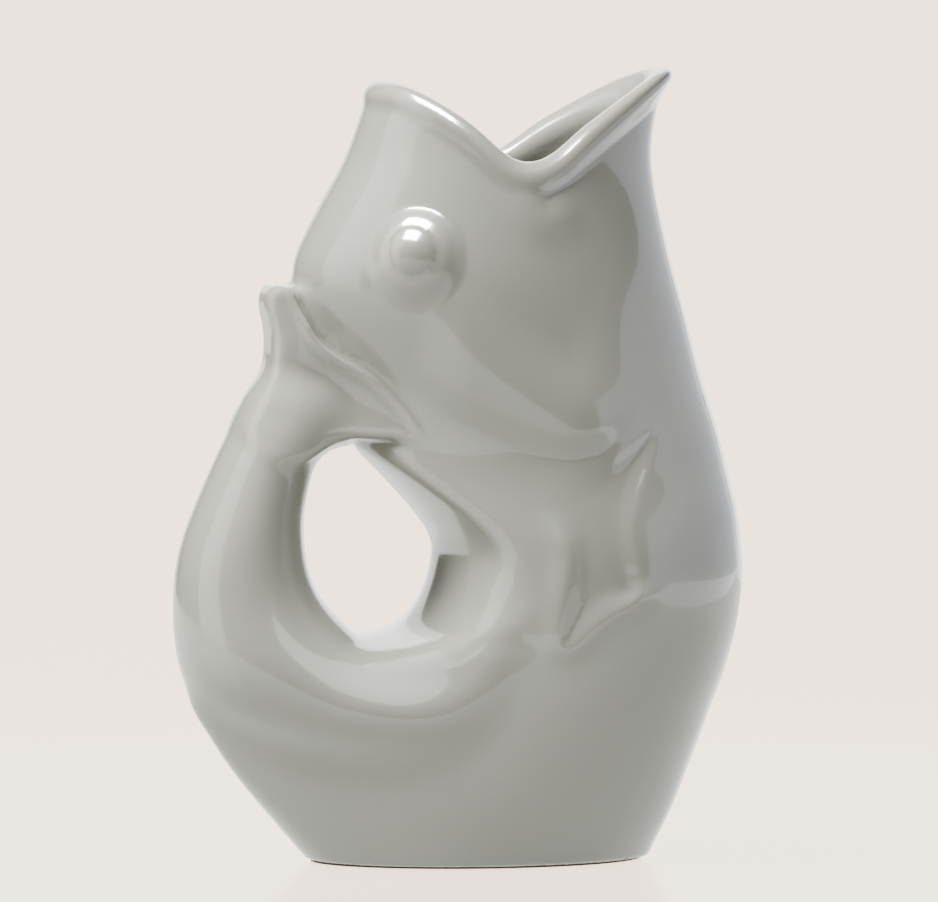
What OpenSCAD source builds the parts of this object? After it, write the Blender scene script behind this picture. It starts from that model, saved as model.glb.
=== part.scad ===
// A fish-shaped ceramic jug that gurgles when it pours.
// The hollow tail is open to the belly at its lower end only, so it traps air.
// Millimetres, +Z up, spout towards +X, origin under the middle of the jug on its resting plane.

/* [Jug] */
// Height from the table to the spout tip
jug_h = 254; // [230:1:280]
// Length from the tail's back to the belly's front
jug_l = 186; // [168:1:204]
// Width across the belly
jug_w = 110; // [100:1:120]
// Thickness of the clay wall
wall_t = 5.5; // [4:0.1:6.5]
// Thickness of the floor
floor_t = 6; // [4:0.1:8]

/* [Foot] */
// Height of the bare clay foot
foot_h = 3.2; // [2:0.1:5]
// Width of the foot's resting face
foot_land = 9; // [7:0.5:12]
// How far the foot sits inside the wall's outer face
foot_inset = 1.4; // [0.6:0.1:2]

/* [Mouth] */
// Height of the lip above the head wall
lip_h = 6.5; // [5:0.1:8]
// How far the lip rolls out over the head wall
lip_roll = 1.8; // [1:0.1:2.6]

/* [Eyes] */
// Diameter of the eye bulge
eye_d = 28; // [24:0.5:32]
// Diameter of the pupil
pupil_d = 13; // [10:0.5:15]
// How far the pupil stands out of the eye bulge
pupil_rise = 3.4; // [2.4:0.1:4.4]

/* [Relief] */
// How far the gill cover's edge stands out of the head
gill_rise = 2.6; // [1.6:0.1:3.4]
// Width of the gill cover's raised edge
gill_w = 15; // [12:0.5:18]
// How far the pectoral fin stands out of the belly
pectoral_rise = 2.8; // [1.8:0.1:3.6]

/* [Hidden] */

glaze = "#bfc0b8";
bare_clay = "#7a634c";

// Counts
body_columns = 44;
tail_columns = 26;
rings_per_row = 2;
tail_rings_per_row = 3;
lip_steps = 10;
relief_steps = 14;
round_fn = 28;
// Overrun of one cut past the face it cuts
over = 1;

// Rows of the body, from the table up: height, back, front, widest place, half width,
// then how full the back and the front of the section are.
// Heights are shares of jug_h, places along the jug of jug_l, and half widths of jug_w.
body_shares = [
    [0.000, -0.264, 0.332, 0.033, 0.346, 2.00, 2.00],
    [0.019, -0.288, 0.343, 0.049, 0.360, 1.90, 2.00],
    [0.040, -0.312, 0.358, 0.066, 0.378, 1.80, 2.00],
    [0.080, -0.360, 0.382, 0.095, 0.412, 1.65, 2.00],
    [0.120, -0.404, 0.402, 0.122, 0.438, 1.55, 2.00],
    [0.161, -0.441, 0.423, 0.144, 0.460, 1.48, 2.00],
    [0.202, -0.470, 0.443, 0.163, 0.477, 1.45, 2.00],
    [0.235, -0.470, 0.461, 0.178, 0.487, 1.45, 2.00],
    [0.258, -0.400, 0.470, 0.188, 0.491, 1.50, 2.00],
    [0.276, -0.270, 0.477, 0.194, 0.494, 1.65, 2.00],
    [0.292, -0.125, 0.483, 0.200, 0.496, 1.90, 2.00],
    [0.311, -0.081, 0.487, 0.204, 0.498, 2.00, 2.00],
    [0.334, -0.059, 0.492, 0.210, 0.500, 2.00, 2.00],
    [0.370, -0.046, 0.496, 0.218, 0.500, 2.00, 2.00],
    [0.403, -0.053, 0.492, 0.221, 0.496, 1.95, 2.00],
    [0.433, -0.071, 0.488, 0.220, 0.487, 1.85, 2.00],
    [0.464, -0.103, 0.479, 0.216, 0.474, 1.75, 2.00],
    [0.495, -0.137, 0.468, 0.208, 0.460, 1.60, 2.00],
    [0.523, -0.155, 0.460, 0.196, 0.451, 1.50, 2.00],
    [0.553, -0.163, 0.449, 0.179, 0.447, 1.42, 2.00],
    [0.594, -0.185, 0.431, 0.141, 0.447, 1.50, 2.00],
    [0.645, -0.228, 0.412, 0.100, 0.443, 1.72, 2.00],
    [0.695, -0.272, 0.395, 0.068, 0.438, 1.90, 2.00],
    [0.750, -0.295, 0.374, 0.049, 0.426, 2.00, 2.00],
    [0.800, -0.267, 0.358, 0.043, 0.404, 2.00, 1.95],
    [0.850, -0.230, 0.344, 0.049, 0.378, 2.00, 1.90],
    [0.900, -0.192, 0.338, 0.060, 0.355, 2.00, 1.80],
    [0.950, -0.170, 0.348, 0.071, 0.342, 2.00, 1.70],
    [1.000, -0.138, 0.366, 0.082, 0.333, 2.00, 1.60],
];

// Edge of the open mouth in side view: place along the jug, then height
rim_shares = [
    [-0.160, 0.986],
    [-0.135, 0.983],
    [-0.109, 0.974],
    [-0.065, 0.953],
    [-0.026, 0.933],
    [0.010, 0.912],
    [0.040, 0.894],
    [0.070, 0.886],
    [0.100, 0.889],
    [0.130, 0.899],
    [0.175, 0.921],
    [0.221, 0.943],
    [0.282, 0.970],
    [0.335, 0.991],
    [0.366, 0.999],
    [0.400, 1.000],
];

// Sections of the tail, from inside the belly round under the finger hole and up:
// outer edge along and up, inner edge at the hole along and up, then half width.
tail_shares = [
    [0.141, 0.369, -0.016, 0.400, 0.333],
    [0.130, 0.265, -0.048, 0.340, 0.400],
    [0.065, 0.152, -0.092, 0.299, 0.430],
    [-0.071, 0.101, -0.135, 0.285, 0.417],
    [-0.217, 0.113, -0.180, 0.286, 0.386],
    [-0.357, 0.151, -0.206, 0.300, 0.342],
    [-0.466, 0.212, -0.242, 0.328, 0.298],
    [-0.498, 0.297, -0.269, 0.364, 0.254],
    [-0.495, 0.375, -0.280, 0.408, 0.228],
    [-0.472, 0.435, -0.279, 0.449, 0.210],
    [-0.444, 0.484, -0.271, 0.480, 0.197],
    [-0.418, 0.525, -0.257, 0.509, 0.189],
    [-0.384, 0.573, -0.218, 0.528, 0.180],
    [-0.356, 0.616, -0.160, 0.530, 0.171],
    [-0.348, 0.656, -0.105, 0.530, 0.162],
    [-0.358, 0.712, -0.056, 0.529, 0.154],
    [-0.312, 0.740, 0.000, 0.553, 0.140],
];
// Row where the tail leaves the belly, and row where its fin begins
tail_root_row = 7;
fin_root_row = 11;

// Height where the head sits on the belly, and the lip columns' split at the notch of the mouth
neck_share = 0.505;
notch_share = 0.071;

// Centre of each eye in side view, and the way it looks: along, out and up
eye_place_shares = [-0.125, 0.775];
eye_look = [-0.44, 0.77, 0.46];
eye_sink_share = 0.30;
// How high in the eye bulge the pupil's flat seat lies
pupil_seat_share = 0.36;

// Lower edge of the gill cover in side view
gill_shares = [
    [-0.120, 0.640],
    [-0.060, 0.596],
    [0.010, 0.562],
    [0.090, 0.540],
    [0.160, 0.536],
    [0.215, 0.552],
    [0.255, 0.590],
];
// Pectoral fin in side view: its front edge, then its rear edge, both from the root up to the tip
pectoral_front_shares = [
    [0.120, 0.292],
    [0.180, 0.315],
    [0.246, 0.362],
    [0.236, 0.430],
    [0.258, 0.490],
    [0.286, 0.549],
];
pectoral_rear_shares = [
    [0.120, 0.292],
    [0.124, 0.335],
    [0.128, 0.390],
    [0.120, 0.440],
    [0.112, 0.480],
    [0.286, 0.549],
];

neck_z = neck_share * jug_h;
floor_z = foot_h + floor_t;
notch_x = notch_share * jug_l;

// Interpolation through the rows of a table, by the value in the first column
function row_below(table, t) =
    max([for (i = [0:len(table) - 2]) if (i == 0 || table[i][0] <= t) i]);
function slope_at(table, i, c) =
    let (a = max(i - 1, 0), b = min(i + 1, len(table) - 1))
    (table[b][c] - table[a][c]) / (table[b][0] - table[a][0]);
function hermite(a, b, slope_a, slope_b, span, u) =
    a * (1 + 2 * u) * (1 - u) * (1 - u) + b * u * u * (3 - 2 * u)
    + span * u * (1 - u) * (slope_a * (1 - u) - slope_b * u);
function table_at(table, t, c) =
    let (i = row_below(table, t), span = table[i + 1][0] - table[i][0])
    hermite(table[i][c], table[i + 1][c], slope_at(table, i, c), slope_at(table, i + 1, c),
        span, min(max((t - table[i][0]) / span, 0), 1));

// Interpolation by the row's number
function row_value(table, i, c) = table[min(max(i, 0), len(table) - 1)][c];
function row_slope(table, i, c) = (row_value(table, i + 1, c) - row_value(table, i - 1, c)) / 2;
function rows_at(table, t, c) =
    let (i = min(floor(t), len(table) - 2))
    hermite(row_value(table, i, c), row_value(table, i + 1, c),
        row_slope(table, i, c), row_slope(table, i + 1, c), 1, t - i);

// Body: a point on the section at height z, at angle a from the spout side, sunk by inset
function bent(v, full) = sign(v) * pow(abs(v), 2 / full);
function body_row(z) = [for (c = [1:6]) table_at(body_shares, z / jug_h, c)];
function body_point(a, z, inset) =
    let (
        r = body_row(z),
        middle = r[2] * jug_l,
        ahead = cos(a) > 0,
        reach = ahead ? r[1] * jug_l - middle - inset : middle - r[0] * jug_l - inset,
        full = ahead ? r[5] : r[4]
    )
    [middle + reach * bent(cos(a), full), (r[3] * jug_w - inset) * bent(sin(a), full), z];
function body_angles() = [for (i = [0:body_columns - 1]) 360 * i / body_columns];
function body_ring(z, inset) = [for (a = body_angles()) body_point(a, z, inset)];
// Half width of the body at a place in side view
function body_side(x, z) =
    let (
        r = body_row(z),
        middle = r[2] * jug_l,
        ahead = x > middle,
        reach = ahead ? r[1] * jug_l - middle : middle - r[0] * jug_l,
        full = ahead ? r[5] : r[4],
        part = min(abs(x - middle) / reach, 1)
    )
    r[3] * jug_w * pow(1 - pow(part, full), 1 / full);
// Heights of the rings between two heights, closer where the rows are closer
function body_heights(low, high) =
    let (last = len(body_shares) - 1)
    [
        low,
        for (k = [0:last * rings_per_row])
            let (t = k / rings_per_row, i = min(floor(t), last - 1))
            let (z = jug_h * (body_shares[i][0] + (t - i) * (body_shares[i + 1][0] - body_shares[i][0])))
            if (z > low + over && z < high - over) z,
        high,
    ];

// Height of the mouth's edge on one column, found by closing in on the side view's line
function rim_gap(a, z) = z - jug_h * table_at(rim_shares, body_point(a, z, 0)[0] / jug_l, 1);
function rim_height(a, low, high, n) =
    n == 0 ? (low + high) / 2
    : rim_gap(a, (low + high) / 2) > 0 ? rim_height(a, low, (low + high) / 2, n - 1)
    : rim_height(a, (low + high) / 2, high, n - 1);
rim_search_share = 0.85;
rim_rounds = 16;
lip_tops = [for (a = body_angles()) rim_height(a, rim_search_share * jug_h, jug_h, rim_rounds)];
lip_feet = [for (z = lip_tops) z - lip_h];

// Tail: one section's ring, sunk by inset, at row number t
function tail_edge(t, c) = [rows_at(tail_shares, t, c) * jug_l, rows_at(tail_shares, t, c + 1) * jug_h];
function tail_ring(t, inset) =
    let (
        outer = tail_edge(t, 0),
        inner = tail_edge(t, 2),
        middle = (outer + inner) / 2,
        half = (outer - inner) / 2,
        arm = half * (1 - inset / norm(half)),
        side = rows_at(tail_shares, t, 4) * jug_w - inset
    )
    [for (i = [0:tail_columns - 1])
        let (a = 360 * i / tail_columns, p = middle + arm * cos(a))
        [p[0], -side * sin(a), p[1]]];
// Rings from one row to another, with the last few left off for a short end
function tail_rings(first, last, inset, short = 0) =
    [for (k = [first * tail_rings_per_row:last * tail_rings_per_row - short])
        tail_ring(k / tail_rings_per_row, inset)];

// Triangles between neighbouring rings of n points, first point of the lower ring given
function band(n, low, high, out) =
    [for (i = [0:n - 1])
        let (j = (i + 1) % n)
        each out
            ? [[low + i, high + i, low + j], [low + j, high + i, high + j]]
            : [[low + i, low + j, high + i], [low + j, high + j, high + i]]];
function flat(rings) = [for (r = rings) each r];

// A solid through rings, closed at both ends
module solid_of(rings) {
    n = len(rings[0]);
    last = n * (len(rings) - 1);
    polyhedron(flat(rings), concat(
        [[for (i = [0:n - 1]) i]],
        [for (k = [0:len(rings) - 2]) each band(n, n * k, n * (k + 1), true)],
        [[for (i = [0:n - 1]) last + n - 1 - i]]
    ));
}

// A wall between outer and inner rings, open at both ends
module wall_of(outer, inner) {
    n = len(outer[0]);
    count = n * len(outer);
    last = n * (len(outer) - 1);
    polyhedron(concat(flat(outer), flat(inner)), concat(
        band(n, count, 0, true),
        [for (k = [0:len(outer) - 2]) each band(n, n * k, n * (k + 1), true)],
        [for (k = [0:len(outer) - 2]) each band(n, count + n * k, count + n * (k + 1), false)],
        band(n, last, count + last, true)
    ));
}

// Sizes of zero leave the size alone and make the cut shape one closed mesh
module one_mesh() {
    resize([0, 0, 0])
        children();
}

module body_solid(low, high, inset) {
    solid_of([for (z = body_heights(low, high)) body_ring(z, inset)]);
}

// Inside of the body, with an upright pocket that the floor fills
module body_hollow() {
    solid_of(concat(
        [for (z = [foot_h - over, floor_z])
            [for (p = body_ring(floor_z, wall_t)) [p[0], p[1], z]]],
        [for (z = body_heights(floor_z + over, neck_z + over)) body_ring(z, wall_t)]
    ));
}

module foot_ring() {
    inner_edge = foot_inset + foot_land;
    color(bare_clay)
        wall_of(
            [for (z = [0, foot_h]) [for (p = body_ring(foot_h, foot_inset)) [p[0], p[1], z]]],
            [for (z = [0, foot_h]) [for (p = body_ring(foot_h, inner_edge)) [p[0], p[1], z]]]
        );
}

module base_floor() {
    color(glaze)
        solid_of([for (z = [foot_h, floor_z])
            [for (p = body_ring(floor_z, wall_t)) [p[0], p[1], z]]]);
}

module tail_wall(first, last) {
    wall_of(tail_rings(first, last, 0), tail_rings(first, last, wall_t));
}

// The belly with the root of the tail, hollow inside and open into the tail
module belly_wall() {
    color(glaze)
        one_mesh()
            difference() {
                union() {
                    body_solid(foot_h, neck_z, 0);
                    tail_wall(0, tail_root_row);
                }
                body_hollow();
                solid_of(tail_rings(0, tail_root_row, wall_t, 1));
            }
}

head_heights = body_heights(neck_z, rim_search_share * jug_h);
head_rings_above = 4;
function head_rings(inset) = concat(
    [for (z = head_heights) body_ring(z, inset)],
    [for (k = [1:head_rings_above])
        [for (i = [0:body_columns - 1])
            let (low = rim_search_share * jug_h, part = k / head_rings_above)
            body_point(360 * i / body_columns, low + (lip_feet[i] - low) * part, inset)]]
);

module head_wall() {
    color(glaze)
        wall_of(head_rings(0), head_rings(wall_t));
}

// Lip: a section on one column, standing on the head wall's top edge.
// Its points go up the outside, over the top and down the inside.
lip_up_shares = [0, 0.22, 0.46, 0.72, 0.92, 1, 0.94, 0.72, 0.42, 0];
lip_out_shares = [0, 0.52, 0.90, 1, 0.66, 0, -0.55, -0.62, -0.35, 0];
lip_across_shares = [0, 0, 0, 0.02, 0.18, 0.45, 0.76, 0.96, 1, 1];
function lip_section(i) =
    let (
        a = 360 * i / body_columns,
        outer = body_point(a, lip_feet[i], 0),
        inner = body_point(a, lip_feet[i], wall_t),
        away = (outer - inner) / norm(outer - inner),
        rise = body_point(a, lip_tops[i], wall_t / 2) - body_point(a, lip_feet[i], wall_t / 2)
    )
    [for (k = [0:lip_steps - 1])
        outer + (inner - outer) * lip_across_shares[k]
            + rise * lip_up_shares[k] + away * lip_roll * lip_out_shares[k]];
notch_column = min([for (i = [0:body_columns / 2])
    if (body_point(360 * i / body_columns, lip_tops[i], 0)[0] < notch_x) i]);

module lip(first, last) {
    solid_of([for (i = [last:-1:first]) lip_section((i + body_columns) % body_columns)]);
}

module back_lip() {
    color(glaze)
        lip(notch_column, body_columns - notch_column);
}

module spout_lip() {
    color(glaze)
        lip(-notch_column, notch_column);
}

module tail_handle() {
    color(glaze)
        tail_wall(tail_root_row, fin_root_row);
}

// The body without its hollow, which cuts the back of each piece that sits on it
block_top_share = 0.86;
module body_block() {
    body_solid(foot_h, block_top_share * jug_h, 0);
}

module tail_fin() {
    color(glaze)
        one_mesh()
            difference() {
                solid_of(tail_rings(fin_root_row, len(tail_shares) - 1, 0));
                body_block();
            }
}

// Puts a part that is made on the far side, at +Y, on either side
module on_side(side) {
    if (side > 0)
        children();
    else
        mirror([0, 1, 0])
            children();
}

eye_at = [
    eye_place_shares[0] * jug_l,
    body_side(eye_place_shares[0] * jug_l, eye_place_shares[1] * jug_h),
    eye_place_shares[1] * jug_h,
];
look = eye_look / norm(eye_look);
eye_base = eye_at - look * eye_d * eye_sink_share;
pupil_centre = eye_d / 2 + pupil_rise - pupil_d / 2;

// The pupil is the part of a ball that stands above its seat in the eye bulge
module pupil_ball() {
    translate(eye_base)
        rotate([0, acos(look[2]), atan2(look[1], look[0])])
            intersection() {
                translate([0, 0, pupil_centre])
                    sphere(d = pupil_d, $fn = round_fn);
                translate([0, 0, pupil_seat_share * eye_d])
                    cylinder(d = pupil_d + over, h = pupil_d, $fn = round_fn);
            }
}

module eye(side) {
    color(glaze)
        one_mesh()
            on_side(side)
                difference() {
                    translate(eye_base)
                        sphere(d = eye_d, $fn = round_fn);
                    body_block();
                    pupil_ball();
                }
}

module pupil(side) {
    color(glaze)
        on_side(side)
            pupil_ball();
}

module left_eye() {
    eye(-1);
}

module right_eye() {
    eye(1);
}

module left_pupil() {
    pupil(-1);
}

module right_pupil() {
    pupil(1);
}

// A raised patch between two edges in side view, with its height across it as shares of rise
function side_point(p, rise) = [p[0], body_side(p[0], p[1]) + rise, p[1]];
module relief(edge_a, edge_b, across_shares, rise) {
    steps = len(edge_a) - 1;
    rows = len(across_shares) - 1;
    n = rows + 1;
    top = [for (i = [0:steps]) [for (k = [0:rows])
        side_point(edge_a[i] + (edge_b[i] - edge_a[i]) * k / rows, rise * across_shares[k])]];
    sunk = [for (i = [0:steps]) [for (k = [rows:-1:0])
        side_point(edge_a[i] + (edge_b[i] - edge_a[i]) * k / rows, -over)]];
    solid_of([for (i = [0:steps]) concat(top[i], sunk[i])]);
}

module left_gill_cover() {
    gill_cover(-1);
}

module right_gill_cover() {
    gill_cover(1);
}

function along(table, t) = [rows_at(table, t, 0) * jug_l, rows_at(table, t, 1) * jug_h];
gill_across_shares = [0.04, 0.55, 0.92, 1, 0.88, 0.60, 0.28, 0.04];
gill_lean_share = 0.30;
gill_end_share = 0.30;
module gill_cover(side) {
    last = len(gill_shares) - 1;
    lower = [for (k = [0:relief_steps]) along(gill_shares, last * k / relief_steps)];
    upper = [for (k = [0:relief_steps])
        let (
            turn = 180 * k / relief_steps,
            wide = gill_w * (gill_end_share + (1 - gill_end_share) * sin(turn))
        )
        lower[k] + wide * [gill_lean_share * cos(turn), 1]];
    color(glaze)
        one_mesh()
            on_side(side)
                difference() {
                    relief(lower, upper, gill_across_shares, gill_rise);
                    body_block();
                }
}

pectoral_across_shares = [0.1, 0.9, 0.62, 0.5, 0.5, 0.62, 0.9, 0.1];
module pectoral_fin(side) {
    last = len(pectoral_front_shares) - 1;
    trim = 1 / relief_steps;
    places = [for (k = [0:relief_steps]) last * (trim + (1 - 2 * trim) * k / relief_steps)];
    color(glaze)
        one_mesh()
            on_side(side)
                difference() {
                    relief(
                        [for (t = places) along(pectoral_rear_shares, t)],
                        [for (t = places) along(pectoral_front_shares, t)],
                        pectoral_across_shares, pectoral_rise
                    );
                    body_block();
                }
}

module left_pectoral_fin() {
    pectoral_fin(-1);
}

module right_pectoral_fin() {
    pectoral_fin(1);
}

foot_ring();
base_floor();
belly_wall();
head_wall();
back_lip();
spout_lip();
tail_handle();
tail_fin();
left_eye();
right_eye();
left_pupil();
right_pupil();
left_gill_cover();
right_gill_cover();
left_pectoral_fin();
right_pectoral_fin();
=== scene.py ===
# %% [markdown]
# # A fish-shaped gurgle jug in grey glaze
# The real jug is one piece of clay, cast in a plaster mould, glazed and fired.
# A fish stands on its belly with its mouth open as a spout, and its hollow tail curls
# round a finger hole and presses its fin against the back of the head.
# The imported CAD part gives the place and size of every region, and this lesson gives
# those regions their soft shapes, one shared glaze, the photograph's camera and a studio.

# %% Load the fixed frame
import math

import bpy
import numpy as np
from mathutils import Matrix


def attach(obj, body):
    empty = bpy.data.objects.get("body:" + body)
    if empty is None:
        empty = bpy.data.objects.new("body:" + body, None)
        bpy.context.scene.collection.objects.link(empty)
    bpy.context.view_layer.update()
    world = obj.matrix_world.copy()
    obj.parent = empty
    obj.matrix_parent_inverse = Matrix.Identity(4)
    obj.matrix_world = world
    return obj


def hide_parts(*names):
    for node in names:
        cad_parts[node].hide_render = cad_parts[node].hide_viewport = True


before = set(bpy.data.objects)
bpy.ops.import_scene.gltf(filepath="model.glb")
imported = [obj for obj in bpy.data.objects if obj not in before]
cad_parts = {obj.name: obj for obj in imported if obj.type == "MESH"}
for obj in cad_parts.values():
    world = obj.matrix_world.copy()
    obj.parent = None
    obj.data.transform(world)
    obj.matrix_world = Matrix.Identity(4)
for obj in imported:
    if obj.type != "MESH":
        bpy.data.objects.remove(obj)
bpy.context.view_layer.update()
MM = 0.001

# %% [markdown]
# ## The camera
# A long lens far away gives the calm, nearly flat view of a catalogue picture.
# The angle was found by laying the CAD's outline over the photograph, and the aim
# point puts the jug where it stands in the picture.

# %% Camera at the photograph's angle
AZIMUTH, ELEVATION = math.radians(-13), math.radians(3.3)
DISTANCE, VIEW_WIDTH, SENSOR = 3.5, 0.302, 36
HALF_HEIGHT, AIM_RIGHT, AIM_UP, LENS_REACH = 0.127, 0.0032, 0.0048, 40
right = np.array([math.cos(AZIMUTH), math.sin(AZIMUTH), 0])
back = np.array([math.sin(AZIMUTH) * math.cos(ELEVATION),
                 -math.cos(AZIMUTH) * math.cos(ELEVATION), math.sin(ELEVATION)])
up = np.cross(back, right)
aim = np.array([0, 0, HALF_HEIGHT]) + AIM_RIGHT * right + AIM_UP * up


def add(name, data):
    """A new object of the data, put into the scene."""
    made = bpy.data.objects.new(name, data)
    bpy.context.scene.collection.objects.link(made)
    return made


lens = bpy.data.cameras.new("lens")
lens.sensor_width, lens.lens = SENSOR, SENSOR * DISTANCE / VIEW_WIDTH
lens.clip_end = LENS_REACH
camera = add("camera", lens)
camera.location = aim + DISTANCE * back
camera.rotation_euler = (math.pi / 2 - ELEVATION, 0, AZIMUTH)
bpy.context.scene.camera = camera
print("focal length", round(lens.lens), "mm")

# %% [markdown]
# ## The driving sizes and tables
# The jug's rows follow the part's source. The body has, for each height, the back, the
# front, the widest place and the half width. The tail has its outer edge, its inner edge
# at the finger hole and its half width. All of them are shares of the jug's three sizes,
# so the jug keeps its form when one of the sizes changes.

# %% Sizes in millimetres
JUG_H, JUG_L, JUG_W = 254, 186, 110
WALL, FLOOR, FOOT_H = 5.5, 6, 3.2
LIP_H, NECK_SHARE, NOTCH_SHARE = 6.5, 0.505, 0.071
# Height, back, front, widest place and half width of the body
BODY_ROWS = np.array([
    [0.000, -0.264, 0.332, 0.033, 0.346],
    [0.019, -0.288, 0.343, 0.049, 0.360],
    [0.040, -0.312, 0.358, 0.066, 0.378],
    [0.080, -0.360, 0.382, 0.095, 0.412],
    [0.120, -0.404, 0.402, 0.122, 0.438],
    [0.161, -0.441, 0.423, 0.144, 0.460],
    [0.202, -0.470, 0.443, 0.163, 0.477],
    [0.235, -0.470, 0.461, 0.178, 0.487],
    [0.258, -0.400, 0.470, 0.188, 0.491],
    [0.276, -0.270, 0.477, 0.194, 0.494],
    [0.292, -0.125, 0.483, 0.200, 0.496],
    [0.311, -0.081, 0.487, 0.204, 0.498],
    [0.334, -0.059, 0.492, 0.210, 0.500],
    [0.370, -0.046, 0.496, 0.218, 0.500],
    [0.403, -0.053, 0.492, 0.221, 0.496],
    [0.433, -0.071, 0.488, 0.220, 0.487],
    [0.464, -0.103, 0.479, 0.216, 0.474],
    [0.495, -0.137, 0.468, 0.208, 0.460],
    [0.523, -0.155, 0.460, 0.196, 0.451],
    [0.553, -0.163, 0.449, 0.179, 0.447],
    [0.594, -0.185, 0.431, 0.141, 0.447],
    [0.645, -0.228, 0.412, 0.100, 0.443],
    [0.695, -0.272, 0.395, 0.068, 0.438],
    [0.750, -0.295, 0.374, 0.049, 0.426],
    [0.800, -0.267, 0.358, 0.043, 0.404],
    [0.850, -0.230, 0.344, 0.049, 0.378],
    [0.900, -0.192, 0.338, 0.060, 0.355],
    [0.950, -0.170, 0.348, 0.071, 0.342],
    [1.000, -0.138, 0.366, 0.082, 0.333],
])
# Place along the jug and height of the mouth's edge
RIM_POINTS = np.array([
    [-0.160, 0.986], [-0.135, 0.983], [-0.109, 0.974], [-0.065, 0.953], [-0.026, 0.933],
    [0.010, 0.912], [0.040, 0.894], [0.070, 0.886], [0.100, 0.889], [0.130, 0.899],
    [0.175, 0.921], [0.221, 0.943], [0.282, 0.970], [0.335, 0.991], [0.366, 0.999],
    [0.400, 1.000],
]) * [JUG_L, JUG_H]
# Outer edge x and z, inner edge x and z, and half width of the tail
TAIL_ROWS = np.array([
    [0.141, 0.369, -0.016, 0.400, 0.333],
    [0.130, 0.265, -0.048, 0.340, 0.400],
    [0.065, 0.152, -0.092, 0.299, 0.430],
    [-0.071, 0.101, -0.135, 0.285, 0.417],
    [-0.217, 0.113, -0.180, 0.286, 0.386],
    [-0.357, 0.151, -0.206, 0.300, 0.342],
    [-0.466, 0.212, -0.242, 0.328, 0.298],
    [-0.498, 0.297, -0.269, 0.364, 0.254],
    [-0.495, 0.375, -0.280, 0.408, 0.228],
    [-0.472, 0.435, -0.279, 0.449, 0.210],
    [-0.444, 0.484, -0.271, 0.480, 0.197],
    [-0.418, 0.525, -0.257, 0.509, 0.189],
    [-0.384, 0.573, -0.218, 0.528, 0.180],
    [-0.356, 0.616, -0.160, 0.530, 0.171],
]) * [JUG_L, JUG_H, JUG_L, JUG_H, JUG_W]
# Rows where the tail leaves the belly, where its fin begins and where its tube ends
TAIL_ROOT_ROW, FIN_ROOT_ROW, LAST_ROW = 7, 11, 12.2
print(len(BODY_ROWS), "body rows,", len(TAIL_ROWS), "tail rows")

# %% [markdown]
# ## Smooth curves through the rows
# Glossy glaze shows every kink, so the rows are joined by a curve whose bend changes
# without a jump: the natural cubic spline. A light blur then takes out what little
# waviness measuring left in the rows.

# %% Spline, blur and smooth steps
def spline(knots, values, at):
    """S(x), cubic between knots, with S, S' and S'' unbroken and S'' = 0 at both ends,
    and a straight line beyond the ends."""
    values = np.asarray(values, float).reshape(len(knots), -1)
    gap = np.diff(knots)
    rise = np.diff(values, axis=0) / gap[:, None]
    system = np.eye(len(knots))
    i = np.arange(1, len(knots) - 1)
    system[i, i - 1], system[i, i + 1] = gap[:-1], gap[1:]
    system[i, i] = 2 * (gap[:-1] + gap[1:])
    pull = np.zeros_like(values)
    pull[1:-1] = 6 * np.diff(rise, axis=0)
    bend = np.linalg.solve(system, pull)
    at = np.asarray(at, float)
    k = np.clip(np.searchsorted(knots, at) - 1, 0, len(gap) - 1)
    t = (np.clip(at, knots[0], knots[-1]) - knots[k])[:, None]
    g = gap[k][:, None]
    start = rise[k] - g * (2 * bend[k] + bend[k + 1]) / 6
    value = values[k] + t * (start + t * (bend[k] / 2 + t * (bend[k + 1] - bend[k]) / (6 * g)))
    slope = start + t * (bend[k] + t * (bend[k + 1] - bend[k]) / (2 * g))
    return value + slope * (at - np.clip(at, knots[0], knots[-1]))[:, None]


def blur(samples, spread):
    """Each column averaged with Gaussian weights exp(-i^2 / 2 spread^2), ends held."""
    reach = int(4 * spread)
    weights = np.exp(-np.arange(-reach, reach + 1) ** 2 / (2 * spread ** 2))
    padded = np.pad(samples, ((reach, reach), (0, 0)), "reflect", reflect_type="odd")
    return np.stack([np.convolve(c, weights / weights.sum(), "valid") for c in padded.T], 1)


def ease(low, high, v):
    """0 at low, 1 at high, and t^2 (3 - 2 t) between."""
    t = np.clip((v - low) / (high - low), 0, 1)
    return t * t * (3 - 2 * t)


def join(a, b, soft):
    """Smooth minimum, the union of two solids with a fillet of about soft."""
    h = np.clip(0.5 + 0.5 * (b - a) / soft, 0, 1)
    return b + (a - b) * h - soft * h * (1 - h)


def carve(a, b, soft):
    """Smooth maximum, the part common to two solids with a rounded edge."""
    return -join(-a, -b, soft)


def ridge(height, distance, spread):
    """height exp(-(distance / spread)^2), a rounded ridge along a line."""
    return height * np.exp(-(distance / spread) ** 2)


def between(columns, place):
    """Columns of a table at a fractional row, straight between the rows."""
    k = place.astype(int)
    part = place - k
    return [c[k] * (1 - part) + c[k + 1] * part for c in columns.T]


# Step of the tables along the height and the spread of each one's blur, in mm
STEP, BODY_BLUR, REACH_BLUR, WALL_BLUR, RIM_BLUR = 0.5, 3, 4, 2, 2.5
heights = np.arange(-10, JUG_H + 20, STEP)
body_sizes = BODY_ROWS[:, 1:] * [JUG_L, JUG_L, JUG_L, JUG_W]
body_table = blur(spline(BODY_ROWS[:, 0] * JUG_H, body_sizes, heights), BODY_BLUR / STEP)
print("body table", body_table.shape)

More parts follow.
